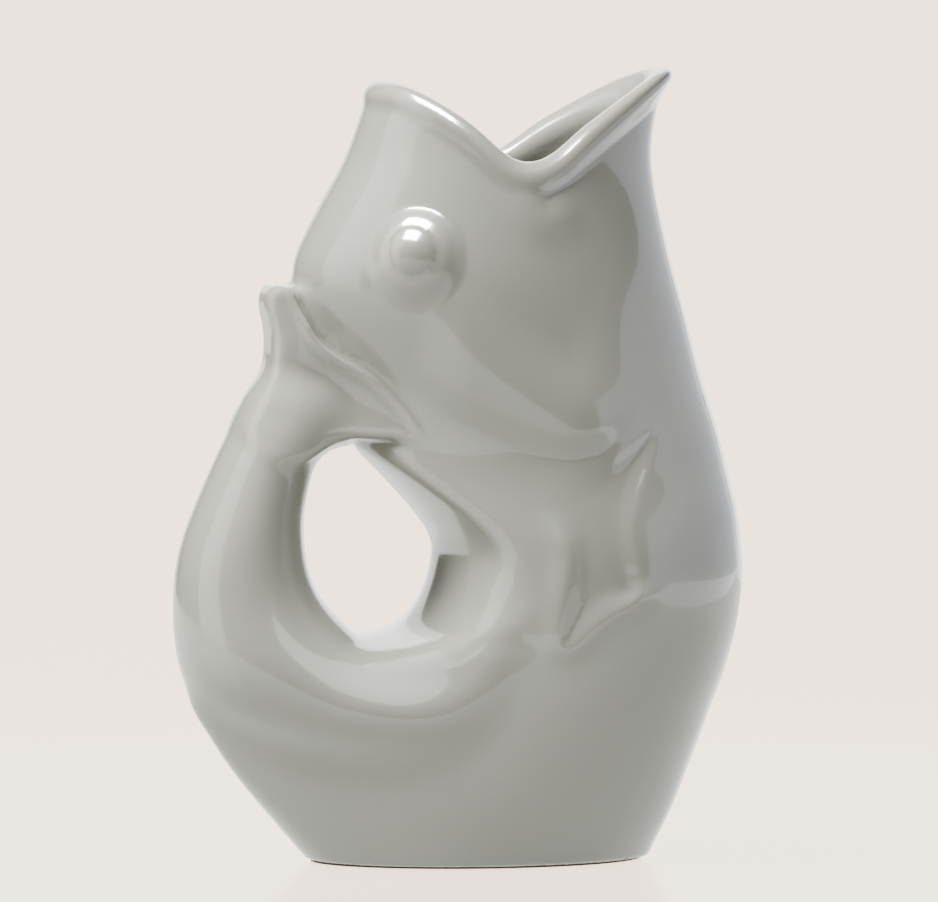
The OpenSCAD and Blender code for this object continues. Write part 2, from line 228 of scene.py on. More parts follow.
# %% [markdown]
# ## The body as a field
# A jug whose tail, fin, eyes and lips all melt into each other can't be one grid of two
# parameters. So each form is a field: a number at every point in space, below zero in
# the clay and above it outside, close to the distance to the surface. Fields blend with
# one line of arithmetic, which is how a potter's fillet is made here.
# A section of the body is an egg: y = w sqrt(1 - u^2) (1 + k u), where u runs from -1 at
# the back to 1 at the front, and k moves the widest place.

# %% Tables along the height
# Height, x of the finger hole's wall in the jug's middle plane, and its radius from above
WALL_ROWS = np.array([
    (46, -125, 170), (56, -98, 170), (63, -70, 170), (69, -36, 165), (73, -18, 152),
    (76, -12, 140), (81, -7.8, 122), (87, -6.2, 106), (94.6, -5.8, 94), (101, -6.4, 88),
    (106, -8.8, 85), (113, -14, 83), (121, -21.4, 80), (128, -28.4, 74), (133, -33.5, 66),
    (137, -36.5, 60), (142, -41, 54), (150, -51, 46), (160, -68, 42), (175, -95, 42),
])
# Height and x of the egg's own back, which runs smoothly behind the hole's wall
REACH_ROWS = np.array([
    (48, -87.4), (60, -86), (72, -77), (84, -65), (96, -54), (108, -46), (120, -40),
    (132, -36.5), (142, -34.5), (152, -34.8),
])
# How far the widest place may lie from the middle, as a share of half the length
LEAN_MOST = 0.45
back_line, front_line, widest_line, width_line = body_table.T
behind_hole = (heights > REACH_ROWS[0, 0]) & (heights < REACH_ROWS[-1, 0])
reach_back = spline(REACH_ROWS[:, 0], REACH_ROWS[:, 1], heights)[:, 0]
reach_back = np.where(behind_hole, reach_back, back_line)
reach_back = blur(reach_back[:, None], REACH_BLUR / STEP)[:, 0]
wall_columns = [np.interp(heights, WALL_ROWS[:, 0], column) for column in WALL_ROWS[:, 1:].T]
wall_x, wall_radius = blur(np.stack(wall_columns, 1), WALL_BLUR / STEP).T
centre_line = (front_line + reach_back) / 2
half_line = (front_line - reach_back) / 2
lean = np.clip((widest_line - centre_line) / half_line, -LEAN_MOST, LEAN_MOST)
lean = blur(lean[:, None], REACH_BLUR / STEP)[:, 0]
egg_line = lean / (1 - 2 * lean ** 2)
full_line = np.sqrt(1 - lean ** 2) * (1 + egg_line * lean)
lines = np.stack([centre_line, half_line, width_line / full_line, egg_line, wall_x, wall_radius], 1)
slopes = np.gradient(lines, STEP, axis=0)
print("tables along the height", lines.shape)

# %% Body field
# Rounding of the edge between the hole's wall and the body, and how much it gains
# between two heights, downwards
HOLE_EDGE, HOLE_EDGE_GAIN, GAIN_HEIGHTS = 4, 5, (104, 84)


def line(columns, z):
    """Values at height z, straight between the close rows of a table."""
    return between(columns, (np.clip(z, heights[0], heights[-1] - STEP) - heights[0]) / STEP)


def body_field(x, y, z):
    """(s - 1) / |grad s| with s = sqrt(u^2 + v^2), v = y / (w (1 + k u)),
    and the barrel-shaped wall of the finger hole carved from its back."""
    c, h, w, k, b, radius = line(lines, z)
    dc, dh, dw, _, db, _ = line(slopes, z)
    u = (x - c) / h
    egg = 1 + k * np.clip(u, -1.1, 1.1)
    v = y / (w * egg)
    s = np.sqrt(u * u + v * v) + 1e-6
    ux, uz = 1 / h, -(dc + u * dh) / h
    vy, vx, vz = 1 / (w * egg), -v * k / egg * ux, -v * (dw / w + k / egg * uz)
    steep = np.sqrt((u * ux + v * vx) ** 2 + (v * vy) ** 2 + (u * uz + v * vz) ** 2) / s
    body = (s - 1) / np.maximum(steep, 0.004)
    wall = (b + y * y / (2 * radius) - x) / np.sqrt(1 + db * db + (y / radius) ** 2)
    return carve(body, wall, HOLE_EDGE + HOLE_EDGE_GAIN * ease(*GAIN_HEIGHTS, z))


inside_body = np.array([[20.0, 0.0, 100.0]])
print("body field inside the belly", body_field(*inside_body.T))

# %% [markdown]
# ## The tail as a field
# The tail is a tube on a curled path. Every point in side view lies on one of the lines
# that join the tail's outer edge to its inner edge, so Newton's method finds the row t
# of that line, and the place s along it, and the section is an ellipse in s and y.

# %% Tail field
# Number of fine rows, the spread of their blur in rows, and what the blur's drawing in
# is made good with, in mm
FINE_ROWS, TAIL_BLUR, TAIL_SWELL = 1400, 12, 0.5
rows_fine = np.linspace(0, len(TAIL_ROWS) - 1, FINE_ROWS)
edges = blur(spline(np.arange(len(TAIL_ROWS)), TAIL_ROWS, rows_fine), TAIL_BLUR)
outer_edge, inner_edge, tail_width = edges[:, 0:2], edges[:, 2:4], edges[:, 4:5]
tail_lines = [(outer_edge + inner_edge) / 2, (outer_edge - inner_edge) / 2, tail_width]
tail_lines = np.concatenate(tail_lines, 1)
ROW_STEP = rows_fine[1]


def tail_line(t):
    """Middle x and z, arm x and z, and half width of the tail's section at row t."""
    return between(tail_lines, np.clip(t / ROW_STEP, 0, len(rows_fine) - 1.001))


def off_line(x, z, t):
    """Distance of a point from the section line of row t."""
    cx, cz, ax, az, _ = tail_line(t)
    return ((x - cx) * az - (z - cz) * ax) / np.hypot(ax, az)


def tail_row(x, z, search=0.25, reach=1.25, nudge=0.02, hop=0.3):
    """Row number t of each point in side view: the nearest of many lines, every search
    rows apart, and then t - f / f' a few times, with f' over a nudge and at most a hop."""
    flat_x, flat_z = x.ravel(), z.ravel()
    best, row = np.full(flat_x.shape, 1e9), np.zeros(flat_x.shape)
    for t in np.arange(0, LAST_ROW + 0.1, search):
        cx, cz, ax, az, _ = tail_line(np.array(t))
        arm = np.hypot(ax, az)
        across = ((flat_x - cx) * az - (flat_z - cz) * ax) / arm
        along = np.abs((flat_x - cx) * ax + (flat_z - cz) * az) / arm
        far = np.hypot(across, np.maximum(along - reach * arm, 0))
        near = far < best
        best[near], row[near] = far[near], t
    for _ in range(4):
        gap = off_line(flat_x, flat_z, row)
        turn = (off_line(flat_x, flat_z, row + nudge) - gap) / nudge
        change = np.clip(gap / np.where(np.abs(turn) < 2, 2, turn), -hop, hop)
        row = np.clip(row - change, 0, LAST_ROW)
    return row.reshape(x.shape)


def tail_field(x, y, z, row):
    """(q - 1) / |grad q| with q = sqrt(s^2 + (y/w)^2), rounded off past the last row."""
    cx, cz, ax, az, w = tail_line(row)
    arm = np.hypot(ax, az)
    s = ((x - cx) * ax + (z - cz) * az) / arm ** 2
    past = off_line(x, z, row) / arm
    q = np.sqrt(s * s + past * past + (y / w) ** 2) + 1e-6
    steep = np.sqrt((s / arm) ** 2 + (past / arm) ** 2 + (y / w ** 2) ** 2) / q
    return (q - 1) / np.maximum(steep, 0.01) - TAIL_SWELL


print("tail lines", tail_lines.shape)

# %% [markdown]
# ## Outlines in side view
# The fin, the gill cover, the pectoral fin and the lip's curl are drawn in side view.
# A signed distance to a closed outline, or a distance to an open path, turns each of
# them into a soft ridge, a step or a dish.

# %% Distances in side view
def rounded(points, count, closed=True):
    """A spline through points, by their running length, sampled at count places."""
    points = np.asarray(points, float)
    if closed:
        points = np.concatenate([points[-3:], points, points[:4]])
    length = np.concatenate([[0], np.cumsum(np.hypot(*np.diff(points, axis=0).T))])
    first, last = (length[3], length[-4]) if closed else (0, length[-1])
    return spline(length, points, np.linspace(first, last, count, endpoint=not closed))


def path_distance(x, z, path, closed=False):
    """Least distance to a path's segments, below zero inside a closed one, which counting
    its crossings tells, and the share of its length there."""
    ends = np.roll(path, -1, axis=0) if closed else path[1:]
    starts = path if closed else path[:-1]
    best, share, odd = np.full(x.shape, 1e9), np.zeros(x.shape), np.zeros(x.shape, bool)
    for n, (a, b) in enumerate(zip(starts, ends)):
        d = b - a
        t = np.clip(((x - a[0]) * d[0] + (z - a[1]) * d[1]) / (d @ d), 0, 1)
        far = np.hypot(x - a[0] - t * d[0], z - a[1] - t * d[1])
        near = far < best
        best = np.where(near, far, best)
        share = np.where(near, (n + t) / len(starts), share)
        if closed:
            odd ^= ((a[1] > z) != (b[1] > z)) & (x < a[0] + (z - a[1]) * d[0] / (d[1] or 1e-9))
    return (np.where(odd, -best, best) if closed else best), share


FIN_EDGE = rounded([
    (-71.3, 140), (-65.3, 152), (-63.0, 163), (-63.3, 172), (-64.9, 180.5), (-64.0, 184.2),
    (-61.2, 186.2), (-58.2, 185.2), (-55.6, 180.6), (-52.6, 174.8), (-49.6, 169.6), (-45.0, 165.2),
    (-37.9, 160.8), (-31.9, 156.9), (-26.3, 151.4), (-21.5, 145.6), (-18.7, 140.5), (-17.4, 136.0),
    (-22, 136.0), (-34, 136.8), (-45, 136.4), (-54, 132),
], 90)
PECTORAL_EDGE = rounded([
    (19.5, 121), (35, 129), (52.4, 138.5), (47, 125), (42.4, 110), (43.6, 100), (45.4, 90),
    (34, 82), (22.5, 73), (23.0, 90), (23.4, 105),
], 70)
GILL_EDGE = rounded([
    (-24, 160), (-12, 151), (2, 143), (17, 137), (30, 136), (41, 140.5), (52, 152), (64, 172),
    (76, 200),
], 30, closed=False)
CURL_PATH = rounded([
    (24, 231), (17.5, 223), (14.2, 216.6), (15.2, 210.8), (19.2, 207.9), (22.8, 209.1),
], 24, closed=False)
print("fin outline points", len(FIN_EDGE))

# %% [markdown]
# The fin is thick where it leaves the tail and where it leans on the head, and dished
# between, like a leaf. A thin plate, which is the surface that a bent sheet of metal
# takes through given points, carries its half thickness over the side view.

# %% The fin's thickness
# Place in side view and half thickness there
FIN_THICKNESS = np.array([
    (-58, 184, 12.5), (-50, 171, 16.8), (-44.5, 164.3, 19.0), (-37.9, 160.8, 21.0),
    (-31.9, 156.9, 23.2), (-26.3, 151.4, 25.2), (-21, 146, 27.2), (-18, 138, 29.0),
    (-65, 183, 8.0), (-65, 172, 8.0), (-58, 176, 12.3), (-58, 164, 12.4), (-50, 157, 13.5),
    (-43, 150, 16.5), (-36, 145, 19.5), (-29, 140, 23.0), (-68, 152, 11.5), (-58, 142, 19.0),
    (-50, 137, 19.5), (-40, 135, 20.5), (-62, 131, 20.5), (-76, 135, 12.0),
])
FIN_STIFF, FIN_LEAST, FIN_MOST = 60.0, 6, 31


def plate_weights(spots, stiff):
    """Weights of the thin plate r^2 log r^2 through spots, loosened by stiff."""
    x, z, value = spots.T
    r2 = (x[:, None] - x) ** 2 + (z[:, None] - z) ** 2
    bend = r2 * np.log(r2 + 1)
    plane = np.stack([np.ones_like(x), x, z], 1)
    system = np.block([[bend + stiff * np.eye(len(x)), plane], [plane.T, np.zeros((3, 3))]])
    return np.linalg.solve(system, np.concatenate([value, np.zeros(3)]))


FIN_PLATE = plate_weights(FIN_THICKNESS, FIN_STIFF)


def fin_thickness(x, z):
    """a + b x + c z + the sum of w r^2 log r^2 over the chosen places, held between limits."""
    total = FIN_PLATE[-3] + FIN_PLATE[-2] * x + FIN_PLATE[-1] * z
    for (px, pz, _), weight in zip(FIN_THICKNESS, FIN_PLATE):
        r2 = (x - px) ** 2 + (z - pz) ** 2
        total = total + weight * r2 * np.log(r2 + 1)
    return np.clip(total, FIN_LEAST, FIN_MOST)


print("fin at its middle:", round(float(fin_thickness(-45.0, 155.0)), 1), "mm each way")

# %% [markdown]
# ## The mouth, the eyes and the reliefs
# The mouth's edge is a height above each place along the jug. Near it the wall becomes a
# bead: a circle drawn in two coordinates, the distance n from the outside of the wall and
# the distance t above the edge, so that it follows the whole mouth.
# Each eye is a low dome round an axis that looks out of the head, with the pupil on it.

# %% The mouth's edge and the eyes' places
rim_x = np.arange(-60, 110, STEP)
rim_table = blur(spline(RIM_POINTS[:, 0], RIM_POINTS[:, 1], rim_x), RIM_BLUR / STEP)[:, 0]
rim_slope = np.gradient(rim_table, STEP)
NOTCH_X = NOTCH_SHARE * JUG_L
EYE_AT = np.array([-0.125 * JUG_L, 0, 0.775 * JUG_H])
EYE_LOOK = np.array([-0.44, 0.77, 0.46])
EYE_LOOK = EYE_LOOK / np.linalg.norm(EYE_LOOK)
EYE_R, PUPIL_R = 14, 7.6
probe = np.linspace(0, 60, 601)
flank = body_field(np.full_like(probe, EYE_AT[0]), probe, np.full_like(probe, EYE_AT[2]))
EYE_Y = float(probe[np.argmin(np.abs(flank))])
print("eye stands at y =", round(EYE_Y, 1))

# %% [markdown]
# The pectoral fin, the gill cover and the spout's curl stand out by only one to three
# millimetres, so each is a height over the body that depends on the side view alone, with
# a soft start and end made by the ease function.

# %% Reliefs in side view
# Heights of the reliefs, and the half widths of those that are ridges, in mm
PECTORAL_RIM, GILL_H, CURL_H, FIN_RIM, DISH, DISH_SLOPE = 1.4, 2.6, 1.2, 1.4, 0.6, 0.055
PECTORAL_SOFT, CURL_SOFT, FIN_RIM_SOFT = 4.8, 7.5, 1.8
# Where the fin's rim leans on the head, filled from behind over a reach
FIN_SEAT = np.array([
    (-56.5, 181), (-53.2, 174), (-49.2, 167.5), (-42.5, 162), (-35, 157), (-28, 151), (-22, 144),
])
SEAT_REACH = 4


def pectoral_relief(x, z):
    """A ridge h exp(-(d / s)^2) along the outline's left and lower edges, less a dish that
    deepens forwards and starts softly on the left and more sharply on the right."""
    edge, _ = path_distance(x, z, PECTORAL_EDGE, closed=True)
    kept = np.maximum(ease(33, 26, x) * ease(117, 104, z), ease(95, 86, z))
    right_side = ease(34, 42, x)
    start = ease(-5, 8, -edge) * (1 - right_side) + ease(-3, 5, -edge) * right_side
    dish = (DISH + DISH_SLOPE * (x - 30)) * start
    return ridge(PECTORAL_RIM, edge - 1.5, PECTORAL_SOFT) * kept - dish


def gill_step(x, z):
    """A step h along the gill's edge, from 5 mm below it to 5 mm above, which sinks again
    upwards and runs out at both ends."""
    gill, _ = path_distance(x, z, GILL_EDGE)
    signed = np.where(z > np.interp(x, GILL_EDGE[:, 0], GILL_EDGE[:, 1]), gill, -gill)
    rise = GILL_H * ease(-5, 5, signed) * (1 - ease(6, 34, signed))
    return rise * ease(-24, -6, x) * ease(54, 22, x)


def curl_ridge(x, z):
    """A ridge h exp(-(d / s)^2) along the curl, which begins at its upper end."""
    curl, part = path_distance(x, z, CURL_PATH)
    return ridge(CURL_H, curl, CURL_SOFT) * ease(0.0, 0.35, part)


def fin_rim(x, z, edge):
    """A ridge h exp(-(d / s)^2) just inside the fin's edge, above the tail."""
    return ridge(FIN_RIM, edge + 1.6, FIN_RIM_SOFT) * ease(136, 142, z) * ease(-59, -52, x)


print("reliefs stand out by up to", max(PECTORAL_RIM, GILL_H, CURL_H), "mm")

# %% [markdown]
# What depends on the side view alone is the same at every place across the jug, so it is
# worked out once on a fine table and then read back, which saves most of the time.

# %% The side view's table
def side_forms(x, z):
    """One array each for the tail's row, the distances to the fin's edge and seat, the
    fin's half thickness, the reliefs, the height over the mouth's edge and the spout."""
    fin_edge, _ = path_distance(x, z, FIN_EDGE, closed=True)
    seat, _ = path_distance(x, z, FIN_SEAT)
    edge, tilt = np.interp(x, rim_x, rim_table), np.interp(x, rim_x, rim_slope)
    return np.stack([
        tail_row(x, z), fin_edge, seat - SEAT_REACH,
        fin_thickness(x, z) + fin_rim(x, z, fin_edge),
        pectoral_relief(x, z) + gill_step(x, z) + curl_ridge(x, z),
        (z - edge) / np.sqrt(1 + tilt ** 2), ease(NOTCH_X - 6, NOTCH_X + 10, x)])


table_x, table_z = np.arange(-104, 104, STEP), np.arange(-8, 270, STEP)
side_table = side_forms(*np.meshgrid(table_x, table_z, indexing="ij"))


def side_view(x, z):
    """The side table at any place, straight between its four nearest samples."""
    i = np.clip((x - table_x[0]) / STEP, 0, len(table_x) - 1.001)
    k = np.clip((z - table_z[0]) / STEP, 0, len(table_z) - 1.001)
    i0, k0 = i.astype(int), k.astype(int)
    i, k = i - i0, k - k0
    return ((side_table[:, i0, k0] * (1 - i) + side_table[:, i0 + 1, k0] * i) * (1 - k)
            + (side_table[:, i0, k0 + 1] * (1 - i) + side_table[:, i0 + 1, k0 + 1] * i) * k)


print("side view's table", side_table.shape)

# %% [markdown]
# All forms meet in one field. A potter would smear each joint with a wet finger, and the
# smooth minimum does the same with a fillet of its own for the fin, its seat and the
# tail. Then the hollow is carved out, the mouth is cut and its bead is laid on.

# %% The jug's field
# The eye's dome and the pupil's, and the groove between them: depth, place, half width
EYE_RISE, PUPIL_RISE, GROOVE, GROOVE_AT, GROOVE_SOFT = 3.8, 2.1, 0.3, 0.8, 1.6
# Places across the jug where the reliefs begin and reach their full height
RELIEF_SPAN = (8, 24)
# Fillets between the fin, its seat, the tail, the hollow and the bead, in mm
FIN_FILLET, SEAT_FILLET, TAIL_FILLET, HOLLOW_FILLET, BEAD_FILLET = 2.2, 6, 6.5, 8, 3.2
# Rounding of the fin's edge, of the wall and of the cut that opens the mouth, in mm
FIN_ROUND, WALL_ROUND, MOUTH_ROUND = 3.5, 1.5, 4.2
# How far the seat lies under the fin's face, and how much higher the mouth's edge is cut
# away from its notch, and over what distance from it
SEAT_DEPTH, MOUTH_RISE, MOUTH_SPAN = 5, 1.2, (4, 22)
# The bead's radius, what the spout adds and its tip takes away, and how far it sits in
# from the wall's outside and below the mouth's edge
BEAD_R, SPOUT_MORE, TIP_LESS, TIP_SPAN = 3.5, 0.9, 2.2, (30, 92)
BEAD_OUT, SPOUT_OUT, BEAD_LOW = 1.2, 0.8, 0.2
# The glazed wall hangs over the foot ring: its lowest height and its thickness there
SKIRT_Z, SKIRT, SKIRT_ROUND, FOOT_ROUND = 0.9, 3.0, 0.3, 0.8


def eye_height(x, y, z):
    """Height of the eye over the head at the distance r from the eye's axis: a dome with a
    steep rim, a shallow groove, and the pupil's own dome 1 - (r / R)^2 within it, and
    nothing on the head's other side."""
    dx, dy, dz = x - EYE_AT[0], -np.abs(y) + EYE_Y, z - EYE_AT[2]
    along = dx * EYE_LOOK[0] - dy * EYE_LOOK[1] + dz * EYE_LOOK[2]
    r = np.sqrt(np.maximum(dx * dx + dy * dy + dz * dz - along ** 2, 0))
    groove = ridge(GROOVE, r - PUPIL_R - GROOVE_AT, GROOVE_SOFT)
    dome = EYE_RISE * ease(EYE_R + 3, PUPIL_R - 1, r) - groove
    return (dome + PUPIL_RISE * np.maximum(1 - (r / PUPIL_R) ** 2, 0)) * ease(-14, -8, along)


def jug_field(x, y, z):
    """The whole jug: outside forms joined, with the fin's seat filled, the hollow carved
    out, the mouth cut, its bead laid on and room left for the foot."""
    row, fin_edge, seat, fin_half, relief, t, spout = side_view(x, z)
    body = body_field(x, y, z)
    head = body - relief * ease(*RELIEF_SPAN, np.abs(y)) - eye_height(x, y, z)
    tail = tail_field(x, y, z, row)
    fin = carve(np.abs(y) - fin_half, fin_edge, FIN_ROUND)
    head = join(head, carve(np.abs(y) - fin_half + SEAT_DEPTH, seat, FIN_ROUND), SEAT_FILLET)
    outer = join(join(head, fin, FIN_FILLET), tail, TAIL_FILLET)
    hollow = join(body, tail, HOLLOW_FILLET) + WALL
    shell = carve(outer, -hollow, WALL_ROUND)
    t = t - MOUTH_RISE * ease(*MOUTH_SPAN, np.abs(x - NOTCH_X))
    shell = carve(shell, t, MOUTH_ROUND)
    size = BEAD_R + spout * (SPOUT_MORE - TIP_LESS * ease(*TIP_SPAN, x))
    bead = np.hypot(body + size - BEAD_OUT - SPOUT_OUT * spout, t + size + BEAD_LOW) - size
    shell = join(shell, bead, BEAD_FILLET)
    skirt = carve(SKIRT_Z - z, -SKIRT - body, SKIRT_ROUND)
    return carve(shell, join(FOOT_H - z, skirt, SKIRT_ROUND), FOOT_ROUND)


print("jug's field in the belly's hollow", jug_field(*inside_body.T))

# %% [markdown]
# ## From the field to one closed mesh
# A surface net puts one point in every small cell that the surface crosses and joins
# neighbouring cells with four-sided faces. Each point is then moved onto the surface
# along the field's slope, which takes away the grid's steps.

# %% Surface net in numpy
def surface_net(field, start, pitch):
    """One vertex per crossed cell, at the mean of its edge crossings a / (a - b), and one
    quad per crossed edge, joining the four cells round it."""
    def beside(grid, others, steps):
        """The cells that lie so many steps before the grid points on the other two axes."""
        cell = grid.copy()
        for axis, step in zip(others, steps):
            cell[:, axis] -= step
        return cell

    inside = field < 0
    cells = tuple(n - 1 for n in field.shape)
    total, count = np.zeros(cells + (3,)), np.zeros(cells)
    quads_at = []
    for axis in range(3):
        a, b = np.moveaxis(field, axis, 0)[:-1], np.moveaxis(field, axis, 0)[1:]
        ia, ib = np.moveaxis(inside, axis, 0)[:-1], np.moveaxis(inside, axis, 0)[1:]
        crossed = np.argwhere(ia != ib)
        va, vb = a[tuple(crossed.T)], b[tuple(crossed.T)]
        share = va / (va - vb)
        grid = np.empty_like(crossed)
        others = [n for n in range(3) if n != axis]
        grid[:, axis], grid[:, others[0]], grid[:, others[1]] = crossed.T
        point = grid.astype(float)
        point[:, axis] += share
        for steps in ((0, 0), (0, 1), (1, 0), (1, 1)):
            cell = beside(grid, others, steps)
            fits = np.all((cell >= 0) & (cell < cells), axis=1)
            np.add.at(total, tuple(cell[fits].T), point[fits])
            np.add.at(count, tuple(cell[fits].T), 1)
        quads_at.append((axis, others, grid, ia[tuple(crossed.T)]))
    used = count > 0
    number = np.full(cells, -1)
    number[used] = np.arange(used.sum())
    vertices = start + pitch * total[used] / count[used][:, None]
    quads = []
    for axis, others, grid, first_in in quads_at:
        ring = np.stack([number[tuple(beside(grid, others, steps).T)]
                         for steps in ((1, 1), (0, 1), (0, 0), (1, 0))], 1)
        flip = first_in if axis != 1 else ~first_in
        ring[~flip] = ring[~flip][:, ::-1]
        quads.append(ring)
    return vertices, np.concatenate(quads)


steps = np.arange(-5, 6)
ball = np.sqrt(steps[:, None, None] ** 2 + steps[:, None] ** 2 + steps ** 2) - 3.5
print("a net round a small ball has", len(surface_net(ball, -5, 1)[0]), "points")


# %% Slope and bend of the field
def gradient(points, size=0.35):
    """Slope of the jug's field by central differences, and its bend, the sum of second
    differences, which is above 0 on outward edges and below 0 in grooves."""
    slope, bend = np.empty_like(points), -6 * jug_field(*points.T)
    for axis in range(3):
        ends = []
        for sign in (-1, 1):
            moved = points.copy()
            moved[:, axis] += sign * size
            ends.append(jug_field(*moved.T))
        slope[:, axis] = (ends[1] - ends[0]) / (2 * size)
        bend += ends[0] + ends[1]
    return slope, bend / size ** 2


print("slope of the field in the belly", gradient(inside_body)[0].round(2))

# %% The jug's mesh
# Grid pitch, most that a point moves at a time, and the least squared slope reckoned with
PITCH = 1.5
MOVE_MOST, SLOPE_LEAST, ROUNDS = 0.6 * PITCH, 0.2, 3
# Corners of the grid's box in mm
low = np.array([-96, -60, -2])
high = np.array([97, 60, 260])
axes = [np.arange(a, b, PITCH) for a, b in zip(low, high)]
gx, gy, gz = axes[0][:, None, None], axes[1][None, :, None], axes[2][None, None, :]
grid_field = jug_field(gx, gy, gz)
points, quads = surface_net(grid_field, low, PITCH)
for _ in range(ROUNDS):
    value, slope = jug_field(*points.T), gradient(points)[0]
    move = value / np.maximum((slope ** 2).sum(1), SLOPE_LEAST)
    points -= np.clip(move, -MOVE_MOST, MOVE_MOST)[:, None] * slope
print(len(points), "points and", len(quads), "faces on the jug")


# %% [markdown]
# ## Cutting the mesh into its regions
# The part names each region of the clay, and so does this model. The one closed mesh is
# cut by upright prisms drawn in side view, and every cut edge keeps the slope of the
# field as its normal, so the glaze runs over the joints without a seam.

# %% Meshes, prisms and cuts
def mesh_piece(name, vertices, faces):
    """A mesh object from points in millimetres and a list of faces."""
    mesh = bpy.data.meshes.new(name)
    mesh.from_pydata(vertices * MM, [], faces.tolist() if hasattr(faces, "tolist") else faces)
    return add(name, mesh)


def prism(name, outline, y_low=-90, y_high=90):
    """The outline in side view carried across the jug from y_low to y_high."""
    outline = np.asarray(outline, float)
    x, z = outline.T
    turn = np.sum(x * np.roll(z, -1) - z * np.roll(x, -1))
    outline = outline if turn > 0 else outline[::-1]
    n = len(outline)
    ends = [np.insert(outline, 1, y, axis=1) for y in (y_low, y_high)]
    i = np.arange(n)
    sides = np.stack([i, i + n, (i + 1) % n + n, (i + 1) % n], 1).tolist()
    caps = [list(range(n)), list(range(2 * n - 1, n - 1, -1))]
    return mesh_piece(name, np.concatenate(ends), caps + sides)


def cut(name, body, operation, *cutters):
    """A new mesh object: body with the cutters taken away or kept."""
    piece = body.copy()
    piece.data = body.data.copy()
    bpy.context.scene.collection.objects.link(piece)
    for cutter in cutters:
        change = piece.modifiers.new("cut", "BOOLEAN")
        change.operation, change.object, change.solver = operation, cutter, "MANIFOLD"
    seen = piece.evaluated_get(bpy.context.evaluated_depsgraph_get())
    mesh = bpy.data.meshes.new_from_object(seen)
    bpy.data.objects.remove(piece)
    mesh.name = name
    return add(name, mesh)


def gone(*objects):
    """Takes away objects that were only needed for a cut."""
    for o in objects:
        bpy.data.objects.remove(o)


print("cuts are ready")

# %% Regions of the clay
NECK_Z = NECK_SHARE * JUG_H
tail_sections = TAIL_ROWS[[TAIL_ROOT_ROW, FIN_ROOT_ROW]]
root_out, root_in = tail_sections[0, :2], tail_sections[0, 2:4]
fin_out, fin_in = tail_sections[1, :2], tail_sections[1, 2:4]
# Each cut runs on past the tail's section by these shares of it, outwards and inwards
root_far = root_out + 0.6 * (root_out - root_in)
root_near = root_in + 0.22 * (root_in - root_out)
fin_far = fin_out + 1.4 * (fin_out - fin_in)
fin_near = fin_in + 0.33 * (fin_in - fin_out)
# The cut between the head and the fin, up to where the mouth's edge starts
HEAD_BACK = [
    (-30, 132), (-17.4, 135.2), (-18.7, 140.5), (-21.5, 145.6), (-26.3, 151.4), (-31.9, 156.9),
    (-37.9, 160.8), (-44.5, 164.3), (-49.0, 169.0), (-51.9, 174.7), (-54.3, 180.0), (-56, 196),
]
LIP_BACK, LIP_FRONT, BACK_POINTS, SPOUT_POINTS = -56, 104, 30, 40
lip_x = np.concatenate([np.linspace(LIP_BACK, NOTCH_X, BACK_POINTS),
                        np.linspace(NOTCH_X, LIP_FRONT, SPOUT_POINTS)[1:]])
lip_z = np.interp(lip_x, rim_x, rim_table) - LIP_H
lip_line = np.stack([lip_x, lip_z], 1)
back_edge, spout_edge = lip_line[:BACK_POINTS].tolist(), lip_line[BACK_POINTS - 1:].tolist()
# Places well outside the jug, where an outline may run freely
FAR, TOP, UNDER = 130, 300, -20
whole = mesh_piece("whole_jug", points, quads)
regions = {
    "tail_handle": [root_far, root_near, fin_near, fin_far],
    "tail_fin": [fin_far, fin_near] + HEAD_BACK + [(-FAR, HEAD_BACK[-1][1])],
    "belly_wall": [(-FAR, UNDER), (FAR, UNDER), (FAR, NECK_Z), (fin_near[0], NECK_Z), fin_near,
                   root_near, root_far, (-FAR, root_far[1])],
    "head_wall": [fin_near] + HEAD_BACK + lip_line.tolist()
    + [(FAR, lip_z[-1]), (FAR, NECK_Z), (fin_near[0], NECK_Z)],
    "back_lip": back_edge + [(NOTCH_X, TOP), (LIP_BACK, TOP)],
    "spout_lip": spout_edge + [(FAR, lip_z[-1]), (FAR, TOP), (NOTCH_X, TOP)],
}
pieces = {}
for name, outline in regions.items():
    cutter = prism("cutter", outline)
    pieces[name] = cut(name, whole, "INTERSECT", cutter)
    gone(cutter)
    print(name, len(pieces[name].data.polygons), "faces")

# %% [markdown]
# ## Reliefs as their own pieces
# Eye, pupil, gill cover and pectoral fin are regions of the same clay, so each is cut
# from the surface by its outline, down to a core that lies under the glaze. The core is
# the body's own loft: egg-shaped rings at many heights, drawn in by a fixed depth.

# %% Rings, tubes and bars
def tube(name, rings, looped=False):
    """A closed mesh through an array of rings, rings x points x 3, with flat ends, or with
    the last ring joined to the first one."""
    count, n = rings.shape[:2]
    i, j = np.meshgrid(np.arange(count if looped else count - 1), np.arange(n), indexing="ij")
    k, after = (j + 1) % n, (i + 1) % count
    faces = np.stack([i * n + j, i * n + k, after * n + k, after * n + j], -1).reshape(-1, 4).tolist()
    ends = [] if looped else [list(range(n))[::-1], list(range((count - 1) * n, count * n))]
    return mesh_piece(name, rings.reshape(-1, 3), faces + ends)


def egg_ring(z, depth, columns=96):
    """One section, drawn in by depth: x = c + (h - d) cos a, y = (w - d) sin a (1 + k cos a)."""
    c, h, w, k, _, _ = line(lines, np.asarray(z, float))
    a = np.linspace(0, 2 * np.pi, columns, endpoint=False)
    u = np.cos(a)
    y = (w - depth) * np.sin(a) * (1 + k * u)
    return np.stack([c + (h - depth) * u, y, np.full_like(a, z)], 1)


